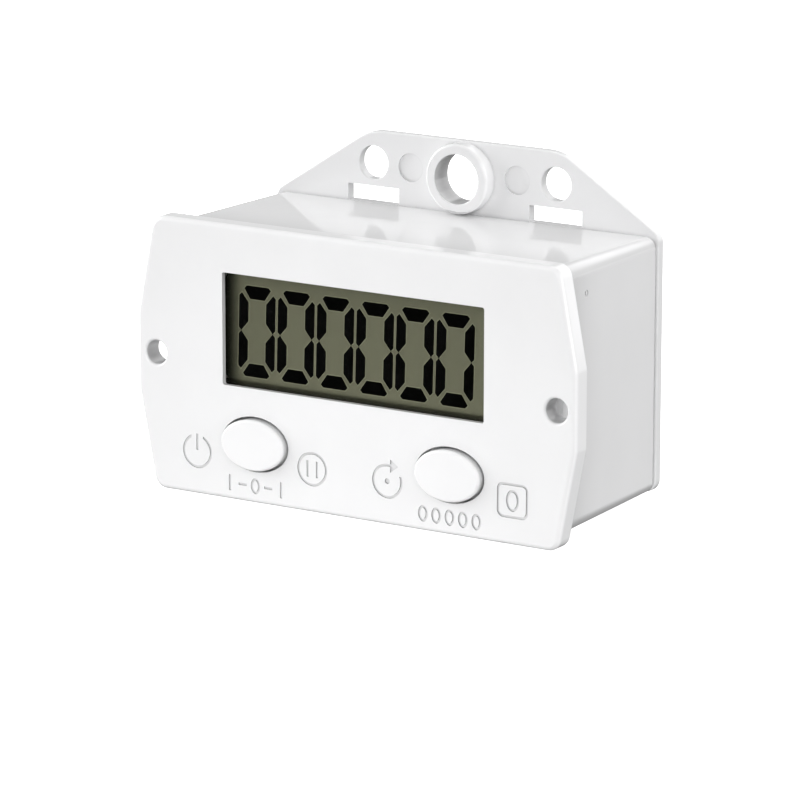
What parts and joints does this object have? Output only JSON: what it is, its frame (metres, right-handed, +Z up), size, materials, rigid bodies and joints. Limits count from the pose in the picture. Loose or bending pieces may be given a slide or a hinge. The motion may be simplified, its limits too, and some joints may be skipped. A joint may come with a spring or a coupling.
{
  "type": "electronic row counter",
  "caption": "White panel-mount electronic counter: flanged front with liquid-crystal window and oval push buttons, box body and rear hanging lug with boss.",
  "frame": {"origin": "midway between the two panel screw holes, on the back face of the flange", "axes": "+X to the right across the front, +Y from the front into the box, +Z up towards the hanging lug"},
  "size_m": [0.065, 0.0295, 0.0442],
  "materials": {
    "white_shell": "glossy injection-moulded",
    "white_button": "glossy injection-moulded",
    "silicone": "matte",
    "carbon_rubber": "matte",
    "polariser_film": "satin anti-glare film",
    "display_glass": "clear",
    "seal_epoxy": "matte",
    "display_ink": "matte",
    "display_reflector": "satin, olive grey",
    "inner_frame": "matte",
    "zebra_rubber": "striped, matte",
    "board_laminate": "satin solder mask",
    "carbon_print": "matte",
    "black_epoxy": "glossy",
    "steel": "satin",
    "capacitor_sleeve": "glossy shrink sleeve",
    "ceramic_chip": "matte",
    "resistor_chip": "matte",
    "reed_glass": "clear",
    "zinc_screw": "bright zinc plate",
    "battery_label": "glossy printed sleeve, plain bands",
    "battery_can": "satin drawn can",
    "nickel_spring": "bright nickel plate",
    "solder": "bright"
  },
  "bodies": {
    "casing": {"front_housing": "white_shell", "rear_cover": "white_shell", "power_key_boot": "silicone", "reset_key_boot": "silicone", "lcd_front_polariser": "polariser_film", "lcd_front_glass": "display_glass", "lcd_seal": "seal_epoxy", "lcd_digits": "display_ink", "lcd_rear_glass": "display_glass", "lcd_reflector": "display_reflector", "lcd_frame": "inner_frame", "zebra_strips": "zebra_rubber", "circuit_board": "board_laminate", "key_pads": "carbon_print", "counter_chip": "black_epoxy", "crystal": "steel", "storage_capacitor": "capacitor_sleeve", "chip_capacitors": "ceramic_chip", "chip_resistors": "resistor_chip", "reed_tube": "reed_glass", "reed_blades": "steel", "board_screws": "zinc_screw", "cover_screws": "zinc_screw", "battery_cell": "battery_can", "battery_sleeve": "battery_label", "battery_cap": "steel", "positive_contact": "nickel_spring", "negative_contact": "nickel_spring", "battery_spring": "nickel_spring", "contact_solder": "solder"},
    "power_key": {"power_button": "white_button", "power_contact_pill": "carbon_rubber"},
    "reset_key": {"reset_button": "white_button", "reset_contact_pill": "carbon_rubber"}
  },
  "joints": [
    {"name": "power_press", "type": "slide", "parent": "casing", "child": "power_key", "axis": [0, 1, 0], "range_m": [0, 0.0008], "stiffness_N_per_m": 1500, "deforming": ["power_key_boot"]},
    {"name": "reset_press", "type": "slide", "parent": "casing", "child": "reset_key", "axis": [0, 1, 0], "range_m": [0, 0.0008], "stiffness_N_per_m": 1500, "deforming": ["reset_key_boot"]}
  ]
}
